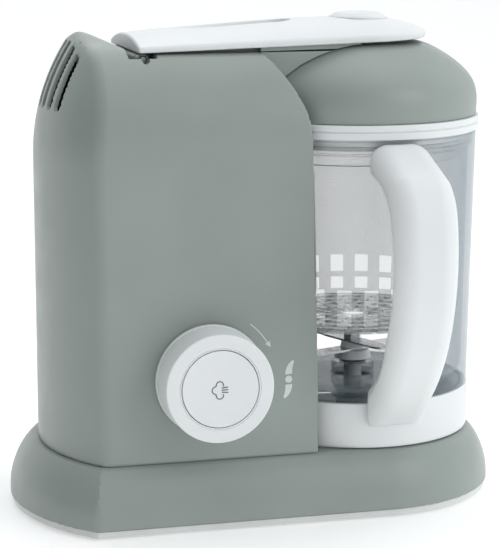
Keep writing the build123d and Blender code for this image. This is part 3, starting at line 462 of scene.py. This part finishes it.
COPPER = brushed_metal("enamelled_copper", (0.62, 0.24, 0.09), 0.3, stretch=(1, 1, 20), depth=0.00008)
BRASS = brushed_metal("turned_brass", (0.68, 0.47, 0.2), 0.32)

FINISH_OF_SLOT = {
    "sage_shell": SAGE, "white_shell": WHITE_SATIN, "pale_plate": PALE, "clear_jug": CLEAR,
    "grey_inner": GREY_INNER, "milky_basket": MILKY, "seal_rubber": SILICONE, "foot_rubber": RUBBER,
    "blade_steel": BLADE_STEEL, "plain_steel": STEEL, "pot_metal": CAST, "copper_wire": COPPER,
    "magnet_grey": FERRITE, "brass_parts": BRASS, "board_green": BOARD, "black_plastic": BLACK,
}
slot_of_node = {entry["node"]: entry["material_slot"] for entry in frame["record"]["subparts"]}


def fit(piece, body, material, *nodes):
    """Gives a new piece its finish, hangs it on its body and lets it stand for CAD nodes."""
    piece.data.materials.append(material)
    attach(piece, body)
    if nodes:
        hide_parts(*nodes)


# ---------------------------------------------------------------- tower
arch_radius = smooth_curve(ARCH_ANGLES, ARCH_RADII)


def arch(y, z):
    """Distance to the tower's front, back and top."""
    across = np.sqrt(y**2 + 4.0)
    above = np.maximum(z - SPRING_Z, 0)
    angle = np.degrees(np.arctan2(above, across))
    upper = np.hypot(across, above) - arch_radius(angle)
    return np.where(z > SPRING_Z, upper, across - ARCH_RADII[0] - ARCH_TAPER * (SPRING_Z - z))


def tower_end(x, y, z):
    """Distance to the bulged left end, which leans in above its shoulder."""
    centre, radius = TOWER_END
    upright = centre - x
    leaning = np.hypot(x - LEAN[0], z - LEAN[1]) - (LEAN[0] - centre)
    return np.hypot(np.where(z > LEAN[1], leaning, upright), y) - radius


def tower(x, y, z):
    shell = both(arch(y, z), tower_end(x, y, z), TOWER_CORNER)
    foot_x, foot_z, slope = RAMP
    ramp_side = ((z - foot_z) + slope * (x - foot_x)) / math.hypot(1, slope)
    shell = both(shell, np.minimum(z - DECK, both(ramp_side, x - foot_x, 0.8)), 2.0)
    shell = both(shell, RECESS_RADIUS - np.hypot(x - JUG_X, y), 1.2)
    shell = both(shell, BASE_TOP - z, 0.7)
    # hollow, with a chamber that reaches up behind the vents
    chamber = np.maximum(x - CHAMBER_RIGHT, ramp_side + WALL)
    hollow = both(both(arch(y, z) + WALL, tower_end(x, y, z) + WALL, 3.0), np.minimum(z - CEILING, chamber))
    # the wall is thinner behind the vents
    vent_room = block(x, y, z, (-130, -31, 214), (CHAMBER_RIGHT, 31, 255))
    behind_vents = both(tower_end(x, y, z) + VENT_WALL, vent_room)
    hollow = np.minimum(hollow, both(behind_vents, both(arch(y, z) + WALL, ramp_side + WALL)))
    shell = without(shell, both(hollow, x - 40), 0.4)
    # pocket for the arm's tray and, deeper, for the hinge
    tray_pocket = block(
        x, y, z, (foot_x, -POCKET_HALF_WIDTH, POCKET_FLOOR), (40, POCKET_HALF_WIDTH, 270))
    shell = without(shell, tray_pocket, 0.4)
    hinge_pocket = block(
        x, y, z, (foot_x, -HINGE_POCKET_HALF_WIDTH, HINGE_POCKET_FLOOR), (-60, HINGE_POCKET_HALF_WIDTH, 270))
    shell = without(shell, hinge_pocket, 0.6)
    for centre, half in KNUCKLES:
        knuckle = np.hypot(x - HINGE_X, z - HINGE_Z) - KNUCKLE_RADIUS
        stand = both(np.abs(x - HINGE_X) - KNUCKLE_RADIUS, slab(z, CEILING, HINGE_Z))
        shell = np.minimum(shell, both(np.minimum(knuckle, stand), np.abs(y - centre) - half, 0.4))
    shell = without(shell, np.hypot(x - HINGE_X, z - HINGE_Z) - PIN_HOLE)
    for centre in VENT_CENTRES:
        # a round lower end, and an upper end that follows the arch
        bottom = np.hypot(y - centre, np.minimum(z - VENT_LOWEST, 0)) - VENT_HALF_WIDTH
        vent = both(both(bottom, z - (VENT_HIGHEST - VENT_FALL * y**2), 0.8), x - VENT_RIGHT)
        shell = without(shell, vent, 0.45)
    filler = np.hypot(x - FILLER_X, y)
    seat = both(filler - FILLER_SEAT[0], FILLER_SEAT[1] - z)
    shell = without(shell, np.maximum(np.minimum(filler - FILLER_HOLE, seat), 200 - z), 0.3)
    shaft = np.hypot(x - KNOB_X, z - KNOB_Z) - KNOB_HOLE
    return without(shell, both(shaft, y + 40))


tower_low, tower_high = box_mm("body_shell")
tower_shell = moulded("tower_shell", tower, tower_low, tower_high, 1.15)
fit(tower_shell, "base", SAGE, "body_shell")
# painted shade: the inside of the vents and of the chamber behind them gets a dark copy of the sage
tower_shell.data.materials.append(SAGE_PAINTED_SHADE)
for face in tower_shell.data.polygons:
    x, y, z = (value / MM for value in face.center)
    deep = tower_end(x, y, z) < -1.8 and arch(y, z) < -1.8
    if deep and z < 252 and x < -84:
        face.material_index = 1

# ---------------------------------------------------------------- base
flare = smooth_curve(*BASE_FLARE)


def base(x, y, z):
    centre, radius = BASE_LEFT
    plan = np.hypot(np.maximum(x - JUG_X, 0), y) - BASE_HALF_DEPTH
    plan = both(plan, np.hypot(np.minimum(x - centre, 0), y) - radius, 2.6)
    inset = flare(z)
    lean = np.sqrt(1 + (flare(z + 0.5) - flare(z - 0.5)) ** 2)
    side = (plan + inset) / lean
    shell = both(side, z - BASE_TOP, 1.6)
    shell = both(shell, BASE_LOW - z, 0.5)
    shell = without(shell, both(side + WALL, z - BASE_TOP + WALL, 1.5), 0.3)
    middle = np.hypot(x - JUG_X, y)
    shell = np.minimum(shell, both(middle - SPINDLE_BOSS, slab(z, 19.4, BASE_TOP - 1)))
    shell = without(shell, middle - SPINDLE_HOLE, 0.4)
    motor_x, motor_y, motor_radius = MOTOR_OPENING
    shell = without(shell, both(np.hypot(x - motor_x, y - motor_y) - motor_radius, 20 - z), 0.4)
    gland_x, gland_z, gland_radius = GLAND_HOLE
    return without(shell, both(np.hypot(x - gland_x, z - gland_z) - gland_radius, 40 - y), 0.4)


base_low, base_high = box_mm("base_shell")
base_skin = moulded("base_skin", base, base_low, base_high, 1.25)
fit(base_skin, "base", SAGE, "base_shell")

# ---------------------------------------------------------------- arm
ridge_height = smooth_curve(*RIDGE)


def scoop(x, y, z, margin=0.0):
    """The finger hollow in the arm's ridge, deepest at its right end."""
    across = np.hypot(np.maximum(x - SCOOP_RIGHT, 0), y) - SCOOP_HALF_WIDTH - margin
    floor = 256.5 - margin + 0.004 * (x + 60)
    return both(across, floor - z, 2.0)


def arm_top(x, y):
    """Height above the arm's crowned top."""
    across = np.hypot(np.maximum(x - JUG_X, 0), y) / ARM_HALF_WIDTH
    rim = 250.6 + 0.0304 * (x + 68)
    return rim + (ridge_height(x) - rim) * (1 - np.abs(across) ** 2.3)


def arm(x, y, z):
    plan = np.hypot(np.maximum(x - JUG_X, 0), y) - ARM_HALF_WIDTH
    plan = both(plan, ARM_LEFT - x, 0.8)
    top = (z - arm_top(x, y)) * 0.95
    underside = 249.4 + 0.0262 * x
    shell = both(plan, top, 1.3)
    shell = both(shell, underside - z, 0.6)
    room = both(plan + ARM_SKIN, top + ARM_SKIN, 1.5)
    room = without(room, scoop(x, y, z, 1.8))
    shell = without(shell, both(room, 230 - z), 0.3)
    shell = without(shell, scoop(x, y, z), 1.2)
    hole = np.hypot(x - BUTTON_X, y) - BUTTON_HOLE
    return without(shell, both(hole, 255 - z), 0.5)


arm_low, arm_high = box_mm("arm_cover")
arm_shell = moulded("arm_shell", arm, arm_low, arm_high, 0.9)
fit(arm_shell, "arm", WHITE, "arm_cover")

button_low, button_high = box_mm("release_button")
button_top = button_high.z
button_profile = filleted((
    (0, button_top - 1.0), (9.0, button_top - 0.8), (11.0, button_top - 0.05, 1.0), (13.0, button_top - 0.6),
    (16.0, button_top - 2.6, 1.6), (16.0, button_top - 7.6, 0.3), (14.4, button_top - 7.6, 0.3),
    (14.4, button_top - 3.6, 1.0), (9.5, button_top - 2.4), (4.0, button_top - 2.4, 0.5),
    (4.0, button_low.z, 0.5), (0, button_low.z)))
release = turned("release_cap", button_profile, (BUTTON_X, 0, 0))
fit(release, "release", WHITE, "release_button")

# ---------------------------------------------------------------- lid
LID_TOP = box_mm("lid_dome")[1].z
DOME = ((66.5, 213.0), (66.5, 221.0), (64.4, 228.2), (60.4, 233.7), (54.2, 239.2), (47.6, 243.6),
        (41.5, 246.9), (34.0, LID_TOP), (20.0, LID_TOP), (0.0, LID_TOP))
INNER_DOME = ((0.0, 246.8), (33.0, 246.8), (46.0, 241.4), (57.0, 232.9), (62.4, 225.5), (64.0, 214.0))
outer = [tuple(p) for p in flowing(DOME, 90)]
inner = [tuple(p) for p in flowing(INNER_DOME, 60)]
dome_profile = [(60.6, 210.1), (65.9, 210.1), (66.4, 210.5), (66.5, 211.2)] + outer + inner + [(60.6, 212.0)]
lid_cap = turned("lid_cap", dome_profile, closed=True, segments=220)
fit(lid_cap, "lid", SAGE, "lid_dome")

collar_profile = filleted((
    (60.4, 202.4), (62.0, 202.4), (62.0, 198.4), (63.8, 198.4, 0.4), (63.8, 202.1), (67.5, 202.1, 0.9),
    (67.7, 205.8, 0.5), (67.0, 206.1, 0.15), (67.0, 206.5, 0.15), (67.9, 206.8, 0.5), (67.9, 209.9, 0.7),
    (66.0, 210.05), (60.4, 210.0)))
collar = turned("lid_band", collar_profile, closed=True, segments=220)
fit(collar, "lid", WHITE, "lid_collar")

# ---------------------------------------------------------------- jug
RIM_Z = box_mm("jug_body")[1].z
FLOOR_Z = 60.7
glass_profile = filleted((
    (5.1, 50.0), (12.0, 50.0, 0.4), (12.0, FLOOR_Z, 0.6), (59.4, FLOOR_Z, 0.3), (59.4, 46.0, 0.3),
    (61.5, 46.0, 0.3), (61.5, FLOOR_Z, 0.4), (63.8, FLOOR_Z, 0.6), (66.5, RIM_Z, 0.8), (64.2, RIM_Z, 0.6),
    (64.2, 194.2, 0.3), (62.6, 193.0, 0.5), (60.6, 70.0, 6.0), (55.0, 63.8, 4.0), (12.0, 63.6, 1.5),
    (12.0, 70.0, 0.8), (5.1, 70.0)))
jug_wall = turned("jug_wall", glass_profile, closed=True, segments=220)
fit(jug_wall, "jug", CLEAR, "jug_body")

ring_low, ring_high = box_mm("jug_ring")
ring_profile = filleted((
    (61.7, ring_low.z), (63.8, ring_low.z, 0.5), (64.2, 37.2, 0.6), (64.2, ring_high.z, 0.7),
    (61.7, ring_high.z, 0.2)))
jug_foot = turned("jug_foot", ring_profile, closed=True, segments=220)
fit(jug_foot, "jug", WHITE, "jug_ring")

GRIP_HEAD = ((62.0, 200.9), (70.0, 199.4))
OUTER_GRIP = ((99.0, 187.4), (106.5, 179.5), (113.0, 160), (112.8, 128), (105.6, 100), (92, 75), (77.2, 58.5),
              (62.0, 46.0))
INNER_GRIP = ((62.0, 71.0), (80.5, 87), (89, 106), (96.4, 131), (94.2, 156), (88, 169.5), (77, 177.0),
              (62.0, 181.0))
grip_outline = np.concatenate((GRIP_HEAD, flowing(OUTER_GRIP, 240), flowing(INNER_GRIP, 200)))
grip_profile = outline_distance(grip_outline)


def handle(x, y, z):
    """The handle stands in a plane through the jug's axis, turned a little towards +X."""
    out = (x - JUG_X) * math.sin(HANDLE_ANGLE) - y * math.cos(HANDLE_ANGLE)
    across = (x - JUG_X) * math.cos(HANDLE_ANGLE) + y * math.sin(HANDLE_ANGLE)
    # the lower root flares out a little
    root = 2.6 * np.clip((66 - z) / 18, 0, 1) ** 2
    grip = both(grip_profile(out, z), np.abs(across) - HANDLE_HALF_WIDTH - root, HANDLE_ROUNDING)
    around = np.hypot(x - JUG_X, y)
    wall = np.maximum(64.3, 64.1 + (z - 61) * 0.0189)
    return both(grip, wall - around, 0.5)


grip_low, grip_high = box_mm("jug_handle")
grip = moulded("jug_grip", handle, grip_low, grip_high, 1.3)
fit(grip, "jug", WHITE, "jug_handle")


# ---------------------------------------------------------------- steam basket
def pierced(name, at, rows, columns, is_open, thickness):
    """A thin sheet laid out by at(column value, row value), with the cells that is_open names left out."""
    points = [at(c, r) for r in rows for c in columns[:-1]]
    wide = len(columns) - 1
    faces = []
    for i in range(len(rows) - 1):
        for k in range(wide):
            if not is_open(k, i):
                near = (k + 1) % wide
                faces.append((i * wide + k, i * wide + near, (i + 1) * wide + near, (i + 1) * wide + k))
    sheet = mesh_object(name, points, faces)
    thick = sheet.modifiers.new("thickness", "SOLIDIFY")
    thick.thickness = thickness * MM
    thick.offset = 0
    soften = sheet.modifiers.new("soft_edges", "BEVEL")
    soften.width = 0.25 * MM
    soften.segments = 2
    soften.limit_method = "ANGLE"
    soften.angle_limit = math.radians(50)
    return sheet


def on_cone(angle, height):
    radius = 54.2 + (height - 96.0) * 0.0478
    return (JUG_X + radius * math.cos(angle), radius * math.sin(angle), height)


RIBS = 24
wall_columns = []
for rib in range(RIBS):
    start = 2 * math.pi * rib / RIBS
    wall_columns += [start, start + 0.014, start + 0.06, start + 0.13, start + 0.2]
wall_columns.append(2 * math.pi)
wall_rows = [96.9, 99.0, 100.5, 107.5, 109.0, 110.5, 120.5, 123.0] + list(np.linspace(130, 188, 8))
basket_wall = pierced(
    "basket_wall", on_cone, wall_rows, wall_columns,
    lambda k, i: k % 5 in (2, 3) and i in (2, 5), 1.3)
fit(basket_wall, "jug", MILKY)

floor_bands = ((7.0, 17.5, 14), (17.5, 27.5, 20), (27.5, 37.5, 28), (37.5, 47.5, 34), (47.5, 54.2, 40))
for band, (start, end, slots) in enumerate(floor_bands):
    columns = [2 * math.pi * (s + part) / slots for s in range(slots) for part in (0, 0.28, 0.64)]
    columns.append(2 * math.pi)
    edge = (end - start) * 0.16
    basket_floor = pierced(
        f"basket_floor_{band + 1}",
        lambda angle, radius: (JUG_X + radius * math.cos(angle), radius * math.sin(angle), 96.9),
        [start, start + edge, end - edge, end], columns,
        lambda k, i: k % 3 == 1 and i == 1, 1.6)
    fit(basket_floor, "jug", MILKY)

flange_profile = filleted((
    (57.7, 187.6), (59.4, 187.6, 0.4), (61.4, 194.5, 0.8), (63.9, 194.5, 0.3), (63.9, 196.0, 0.3),
    (60.0, 196.0, 1.0)))
basket_rim = turned("basket_rim", flange_profile, closed=True)
fit(basket_rim, "jug", MILKY, "steam_basket")

# ---------------------------------------------------------------- knob
FRONT = (0, -1, 0)
bezel_profile = filleted((
    (9.0, 63.0), (29.0, 63.0), (29.4, 63.4), (29.4, 65.8, 0.4), (29.0, 66.35, 0.2), (9.0, 66.35)))
bezel = turned("knob_seat", bezel_profile, (KNOB_X, 0, KNOB_Z), FRONT, closed=True)
fit(bezel, "base", WHITE, "knob_bezel")

knob_profile = filleted((
    (3.25, 66.8), (8.0, 66.8), (28.95, 66.8, 0.3), (28.9, 70.0), (28.5, 86.0, 0.9), (21.7, 86.2, 0.2),
    (21.4, 85.6, 0.12), (21.1, 86.2, 0.2), (20.6, 86.15, 0.2), (20.6, 80.0), (3.25, 80.0)))
knob_cap = turned("knob_cap", knob_profile, (KNOB_X, 0, KNOB_Z), FRONT, closed=True, segments=240)
fit(knob_cap, "turn_knob", WHITE_SATIN)
stem_profile = ((3.25, 48.0), (7.9, 48.0), (7.9, 66.7), (3.25, 66.7))
knob_stem = turned("knob_stem", stem_profile, (KNOB_X, 0, KNOB_Z), FRONT, closed=True, segments=64)
fit(knob_stem, "turn_knob", WHITE_SATIN, "knob")

button_face = filleted((
    (0, 85.75), (14.0, 85.95), (20.15, 86.25, 0.35), (20.15, 83.4, 0.2), (3.15, 83.4, 0.2), (3.15, 45.0, 0.3),
    (0, 45.0)))
steam_cap = turned("steam_cap", button_face, (KNOB_X, 0, KNOB_Z), FRONT, segments=240)
fit(steam_cap, "steam_key", WHITE, "steam_button")


# ---------------------------------------------------------------- printed signs
def printed(name, polygons, lift, body, material):
    """Flat signs laid on the front: each polygon is (x, z) points, lift(z) their distance to the front."""
    made = bmesh.new()
    for polygon in polygons:
        face = made.faces.new([made.verts.new((x * MM, -lift(z) * MM, z * MM)) for x, z in polygon])
        sides = bmesh.ops.extrude_face_region(made, geom=[face])
        raised = [v for v in sides["geom"] if isinstance(v, bmesh.types.BMVert)]
        bmesh.ops.translate(made, verts=raised, vec=(0, -0.06 * MM, 0))
    bmesh.ops.recalc_face_normals(made, faces=made.faces)
    mesh = bpy.data.meshes.new(name)
    made.to_mesh(mesh)
    made.free()
    sign = bpy.data.objects.new(name, mesh)
    bpy.context.scene.collection.objects.link(sign)
    fit(sign, body, material)


def stroke(points, width):
    """A line of that width along the points, as four-sided pieces."""
    points = np.array(points, float)
    along = np.gradient(points, axis=0)
    along /= np.linalg.norm(along, axis=1, keepdims=True)
    side = np.stack((-along[:, 1], along[:, 0]), axis=1) * width / 2
    left, right = points + side, points - side
    return [
        (tuple(left[i]), tuple(left[i + 1]), tuple(right[i + 1]), tuple(right[i]))
        for i in range(len(points) - 1)
    ]


def arc(centre, radius, start, end, count=16):
    angles = np.radians(np.linspace(start, end, count))
    return [(centre[0] + radius * math.cos(a), centre[1] + radius * math.sin(a)) for a in angles]


def tower_face(z):
    return ARCH_RADII[0] + ARCH_TAPER * (SPRING_Z - z) + 0.02


ARROW_CENTRE = (KNOB_X, KNOB_Z - 1.0)
turn_line = arc(ARROW_CENTRE, 36.3, 53, 30)
tip = arc(ARROW_CENTRE, 36.7, 26, 26, 1)[0]
wings = [arc(ARROW_CENTRE, radius, 31.0, 31.0, 1)[0] for radius in (37.9, 34.8)]
printed("turn_arrow", stroke(turn_line, 0.55) + [(tip, wings[1], wings[0])], tower_face, "base", INK)

BLADE_SIGN = (4.8, 76.6)
HALF_BLADE = ((-1.9, 2.6), (-1.75, 4.6), (-1.1, 6.6), (0.1, 8.5), (1.6, 9.9), (2.6, 10.2), (2.9, 9.2),
              (2.3, 7.6), (1.9, 5.6), (1.8, 2.9))
blade_sign = [arc(BLADE_SIGN, 1.9, 0, 337.5)]
for turn in (1, -1):
    blade_sign.append([(BLADE_SIGN[0] + turn * u, BLADE_SIGN[1] + turn * v) for u, v in HALF_BLADE])
printed("blade_sign", blade_sign, tower_face, "base", INK)

cloud = (KNOB_X - 0.6, KNOB_Z - 0.6)
puffs = arc((cloud[0] + 0.2, cloud[1] + 2.7), 1.9, -20, 190) + arc((cloud[0] - 2.0, cloud[1]), 1.9, 110, 250)
puffs += arc((cloud[0] + 0.2, cloud[1] - 2.7), 1.9, 170, 380)
steam_sign = stroke(puffs, 0.5)
for rise in (-1.0, 0.1, 1.2):
    steam_sign += stroke([(cloud[0] + 1.2, cloud[1] + rise), (cloud[0] + 4.6, cloud[1] + rise * 1.3)], 0.5)
printed("steam_sign", steam_sign, lambda z: 85.9, "steam_key", DARK_INK)

# ---------------------------------------------------------------- CAD pieces that stay
for node, shape in frame["nodes"].items():
    if shape.hide_render:
        continue
    shape.data.materials.clear()
    shape.data.materials.append(FINISH_OF_SLOT[slot_of_node[node]])
    shape.data.polygons.foreach_set("use_smooth", [True] * len(shape.data.polygons))
    shape.data.set_sharp_from_angle(angle=math.radians(32))
for node in ("recess_panel", "steam_neck"):
    frame["nodes"][node].data.materials[0] = SAGE
for node in ("steam_neck", "arm_tray", "bottom_plate"):
    soften = frame["nodes"][node].modifiers.new("soft_edges", "BEVEL")
    soften.width = 0.35 * MM
    soften.segments = 2
    soften.limit_method = "ANGLE"
    soften.angle_limit = math.radians(50)

# ---------------------------------------------------------------- floor, light and camera
floor_mesh = bpy.data.meshes.new("floor")
sweep_rows = [(-2.6, 0.0), (1.2, 0.0)]
sweep_rows += [(1.2 + 0.9 * math.sin(a), 0.9 - 0.9 * math.cos(a)) for a in np.radians(np.linspace(6, 90, 15))]
sweep_rows.append((2.1, 3.4))
floor_points = [(x, y, z) for y, z in sweep_rows for x in (-3.2, 3.2)]
floor_faces = [(2 * i, 2 * i + 1, 2 * i + 3, 2 * i + 2) for i in range(len(sweep_rows) - 1)]
floor_mesh.from_pydata(floor_points, [], floor_faces)
floor_mesh.polygons.foreach_set("use_smooth", [True] * len(floor_mesh.polygons))
floor = bpy.data.objects.new("floor", floor_mesh)
bpy.context.scene.collection.objects.link(floor)
# the floor glows faintly, so that it stays near white under a soft light
floor_finish = moulded_plastic("pale_floor", (0.9, 0.9, 0.9), 0.7, grain=400, shift=0.004)
floor_shader = floor_finish.node_tree.nodes["Principled BSDF"]
floor_shader.inputs["Emission Color"].default_value = (1, 1, 1, 1)
floor_shader.inputs["Emission Strength"].default_value = 0.26
floor_mesh.materials.append(floor_finish)

# a white studio, brightest above and to the right and dim on the left
world = bpy.data.worlds.new("studio")
bpy.context.scene.world = world
world.use_nodes = True
sky, sky_links = world.node_tree.nodes, world.node_tree.links
toward_light = sky.new("ShaderNodeVectorMath")
toward_light.operation = "DOT_PRODUCT"
toward_light.inputs[1].default_value = (0.62, 0.25, 0.74)
sky_links.new(sky.new("ShaderNodeTexCoord").outputs["Generated"], toward_light.inputs[0])
sky_glow = sky.new("ShaderNodeMapRange")
sky_glow.inputs["From Min"].default_value = -0.5
sky_glow.inputs["From Max"].default_value = 0.9
sky_glow.inputs["To Min"].default_value = 0.04
sky_glow.inputs["To Max"].default_value = 1.15
sky_links.new(toward_light.outputs["Value"], sky_glow.inputs["Value"])
sky_links.new(sky_glow.outputs["Result"], sky["Background"].inputs["Strength"])
sky["Background"].inputs["Color"].default_value = (0.95, 0.98, 1.0, 1)


def soft_light(name, place, aim, size, power):
    lamp = bpy.data.lights.new(name, "AREA")
    lamp.shape = "RECTANGLE"
    lamp.size, lamp.size_y = size
    lamp.energy = power
    holder = bpy.data.objects.new(name, lamp)
    holder.location = place
    holder.rotation_mode = "QUATERNION"
    holder.rotation_quaternion = (Vector(aim) - Vector(place)).to_track_quat("-Z", "Y")
    bpy.context.scene.collection.objects.link(holder)


soft_light("overhead", (0.1, 0.1, 1.5), (0, 0, 0.1), (1.4, 1.0), 3.0)
soft_light("above_back", (-0.15, 0.9, 1.3), (0, 0, 0.2), (1.0, 0.5), 3.0)
soft_light("front_right", (0.85, -1.1, 0.8), (0.02, 0, 0.12), (0.7, 0.9), 3.5)

camera_data = bpy.data.cameras.new("camera")
camera_data.lens = 135.15
camera_data.sensor_width = 36.0
camera = bpy.data.objects.new("camera", camera_data)
camera.location = (-0.28467, -1.07945, 0.33290)
camera.rotation_euler = (math.radians(79.298), 0, math.radians(-14.782))
bpy.context.scene.collection.objects.link(camera)
bpy.context.scene.camera = camera
bpy.context.scene.view_settings.view_transform = "Standard"
